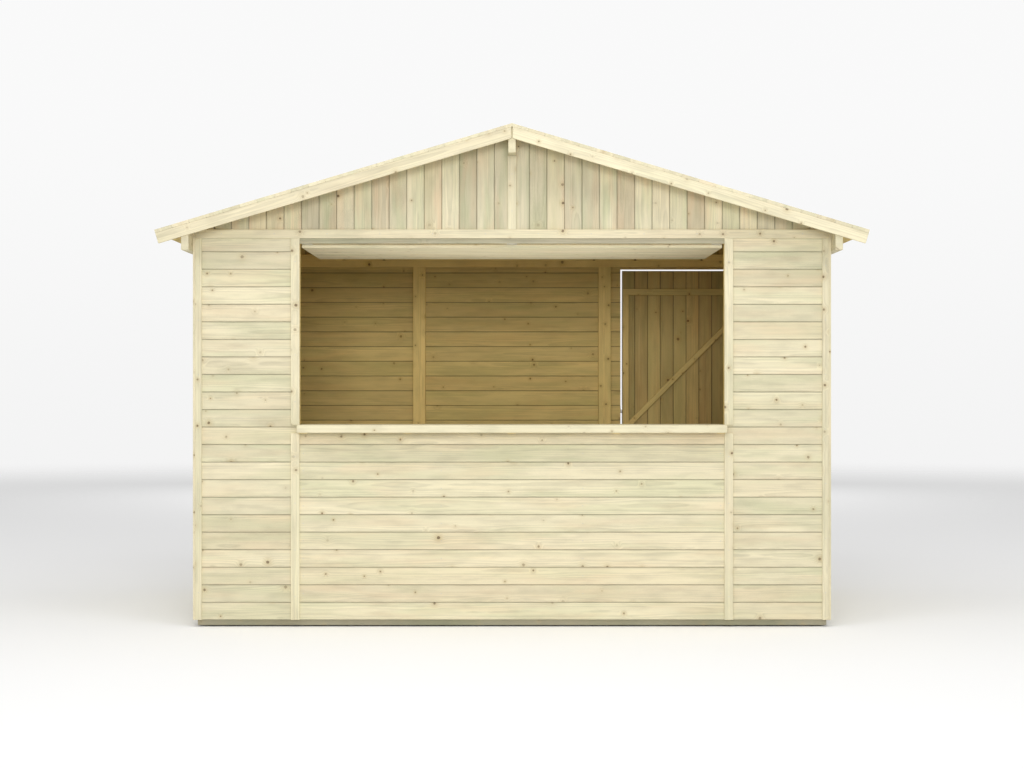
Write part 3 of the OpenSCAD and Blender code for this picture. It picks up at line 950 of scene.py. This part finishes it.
class STALL_OT_nails(bpy.types.Operator):
    """Drives the nails of the strips and boards, and the screws of the hinges and hasp"""
    bl_idname = "stall.nails"
    bl_label = "Nails and Screws"

    def execute(self, context):
        sizes, boards = context.scene.stall_timber, context.scene.stall_boards
        strips = ("cover_strips", "side_strips", "fascia_strips")
        drive("strip_nails", "stall", sizes.nail_head,
              [spot for node in strips for spot in strip_spots(node, sizes.nail_pitch)])

        hidden = [box for node in strips for box in solid_boxes(node)]
        studs = [box for node in ("counter_studs", "front_studs", "side_studs", "back_studs")
                 for box in solid_boxes(node)]
        walls = []
        for node in ("front_wall_left", "front_wall_right", "front_wall_centre", "back_wall_left",
                     "back_wall_middle", "back_wall_beside_door", "left_wall", "right_wall"):
            for sheet in solid_boxes(node):
                size = list(sheet[1] - sheet[0])
                outer = math.copysign(1, sheet[0][size.index(min(size))])
                walls += board_spots(sheet, studs, Z, CLADDING_FOOT, boards.cover, outer, hidden)
        drive("wall_nails", "stall", sizes.nail_head, walls)
        drive("hatch_nails", "hatch", sizes.nail_head,
              board_spots(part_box("hatch_boards"), solid_boxes("hatch_battens"), Y, hatch_joint(),
                          boards.cover, -1, ()))

        sheet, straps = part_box("door_boards"), solid_boxes("door_hinge_straps")
        drive("door_nails", "door", sizes.nail_head,
              board_spots(sheet, solid_boxes("door_ledges"), X, sheet[0].x,
                          (sheet[1].x - sheet[0].x) / boards.door_boards, 1, straps))
        plate = sheet[1].y + PLATE
        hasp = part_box("door_hasp")
        drive("door_screws", "door", sizes.screw_head,
              [spot for box in straps for spot in screw_spots(box, plate, *STRAP_SCREWS)]
              + screw_spots(hasp, hasp[1].y, *HASP_SCREWS))
        drive("leaf_screws", "stall", sizes.screw_head,
              [spot for box in solid_boxes("hinge_leaves") if box[0].y > 0
               for spot in screw_spots(box, plate, *LEAF_SCREWS)])
        return {"FINISHED"}


# ---------------------------------------------------------------- studio

FLOOR_RADIUS, FLOOR_FADE = 45, (9.0, 24.0)      # metres; the floor fades out between the last two
BACKDROP_RADIUS, BACKDROP_FADE = 60, (-4.0, 12.0)   # metres; it brightens between these heights
BACKDROP_LOW, BACKDROP_HIGH = (0.90, 0.90, 0.90), (0.95, 0.95, 0.95)
# Name, the setting of its power, place, target, width and height in metres, spread in degrees.
SOFTBOXES = (
    ("key_softbox", "key", (0, -4.2, 7.2), (0, -1.4, 0.4), 7, 3, 180),
    ("front_softbox", "front", (0, -13.5, 3.8), (0, 0, 1.3), 5, 3, 120),
    ("inside_softbox", "inside", (0, -0.6, 0.3), (0, -0.65, 2.2), 2.2, 0.3, 90),
    ("side_softbox", "fill", (-13, 1, 4.5), (0, 0, 1.4), 6, 4, 180),
    ("side_softbox", "fill", (13, 1, 4.5), (0, 0, 1.4), 6, 4, 180),
    ("back_softbox", "fill", (0, 14, 4.5), (0, 0, 1.4), 6, 4, 180),
)


def studio_floor(stage):
    """A wide pale floor that fades into the backdrop."""
    deselect()
    bpy.ops.mesh.primitive_circle_add(vertices=96, radius=FLOOR_RADIUS, fill_type="NGON",
                                      location=(0, 0, 0))
    floor = bpy.context.object
    floor.name = "studio_floor"
    g = Graph("studio_floor")
    x, y, _ = g.split(Signal(g, g.node("ShaderNodeTexCoord", {}, {}).outputs["Object"]))
    away = (x * x + y * y).root()
    diffuse = g.signal("ShaderNodeBsdfDiffuse", {}, {"Color": rgba(stage.floor)})
    clear = g.signal("ShaderNodeBsdfTransparent", {}, {})
    fade = g.signal("ShaderNodeMixShader", {}, {0: away.between(*FLOOR_FADE), 1: diffuse, 2: clear})
    g.node("ShaderNodeOutputMaterial", {}, {"Surface": fade})
    floor.data.materials.append(g.material)


def studio_backdrop():
    """A round, softly glowing backdrop, a little dimmer low down, that casts no light of its own."""
    deselect()
    bpy.ops.mesh.primitive_uv_sphere_add(segments=48, ring_count=24, radius=BACKDROP_RADIUS,
                                         location=(0, 0, 0))
    backdrop = bpy.context.object
    backdrop.name = "studio_backdrop"
    g = Graph("studio_backdrop")
    _, _, z = g.split(Signal(g, g.node("ShaderNodeTexCoord", {}, {}).outputs["Object"]))
    glow = g.mix(z.between(*BACKDROP_FADE), rgba(BACKDROP_LOW), rgba(BACKDROP_HIGH))
    light = g.signal("ShaderNodeEmission", {}, {"Color": glow, "Strength": 1.0})
    g.node("ShaderNodeOutputMaterial", {}, {"Surface": light})
    backdrop.data.materials.append(g.material)
    for ray in ("diffuse", "glossy", "transmission", "volume_scatter", "shadow"):
        setattr(backdrop, "visible_" + ray, False)


def softbox(name, place, target, width, height, power, spread):
    """A soft rectangular light that looks from its place to a target, spread by an angle."""
    light = bpy.data.lights.new(name, "AREA")
    light.shape = "RECTANGLE"
    light.spread = math.radians(spread)
    light.size, light.size_y, light.energy = width, height, power
    lamp = bpy.data.objects.new(name, light)
    lamp.location = place
    lamp.rotation_euler = (Vector(target) - Vector(place)).to_track_quat("-Z", "Y").to_euler()
    lamp.visible_camera = False
    bpy.context.scene.collection.objects.link(lamp)


class STALL_OT_stage(bpy.types.Operator):
    """Sets up the pale floor, the soft light and the camera"""
    bl_idname = "stall.stage"
    bl_label = "Studio"

    def execute(self, context):
        scene = context.scene
        stage = scene.stall_stage
        studio_floor(stage)
        studio_backdrop()
        world = bpy.data.worlds.new("studio")
        world.use_nodes = True
        sky = world.node_tree.nodes["Background"]
        sky.inputs["Color"].default_value = (1.0, 1.0, 1.0, 1.0)
        sky.inputs["Strength"].default_value = stage.ambient
        scene.world = world
        for name, setting, place, target, width, height, spread in SOFTBOXES:
            softbox(name, place, target, width, height, getattr(stage, setting), spread)
        camera = bpy.data.objects.new("camera", bpy.data.cameras.new("camera"))
        camera.data.lens = stage.lens
        camera.location = (0, -stage.camera_distance, stage.camera_height)
        camera.rotation_euler = (math.pi / 2, 0, 0)
        camera.data.clip_end = 200
        scene.collection.objects.link(camera)
        scene.camera = camera
        scene.view_settings.view_transform = "Standard"
        return {"FINISHED"}


# ---------------------------------------------------------------- add-on

STEPS = (STALL_OT_stage, STALL_OT_wall_boards, STALL_OT_gables, STALL_OT_roof, STALL_OT_floor,
         STALL_OT_framing, STALL_OT_trim, STALL_OT_counter, STALL_OT_hatch, STALL_OT_door,
         STALL_OT_fittings, STALL_OT_nails)
SETTINGS = {"stall_boards": StallBoardSettings, "stall_timber": StallTimberSettings,
            "stall_wood": StallWoodSettings, "stall_stage": StallStageSettings}


class STALL_PT_panel(bpy.types.Panel):
    """Lists the stall's building steps and settings"""
    bl_label = "Market Stall"
    bl_idname = "STALL_PT_panel"
    bl_space_type = "VIEW_3D"
    bl_region_type = "UI"
    bl_category = "Stall"

    def draw(self, context):
        for name, kind in SETTINGS.items():
            box = self.layout.box()
            for setting in kind.__annotations__:
                box.prop(getattr(context.scene, name), setting)
        for step in STEPS:
            self.layout.operator(step.bl_idname)


def register():
    for kind in (*SETTINGS.values(), *STEPS, STALL_PT_panel):
        bpy.utils.register_class(kind)
    for name, kind in SETTINGS.items():
        setattr(bpy.types.Scene, name, bpy.props.PointerProperty(type=kind))


def unregister():
    for name in SETTINGS:
        delattr(bpy.types.Scene, name)
    for kind in reversed((*SETTINGS.values(), *STEPS, STALL_PT_panel)):
        bpy.utils.unregister_class(kind)


def main():
    register()
    for step in STEPS:
        getattr(bpy.ops.stall, step.bl_idname.split(".")[1])()


if __name__ == "__main__":
    main()
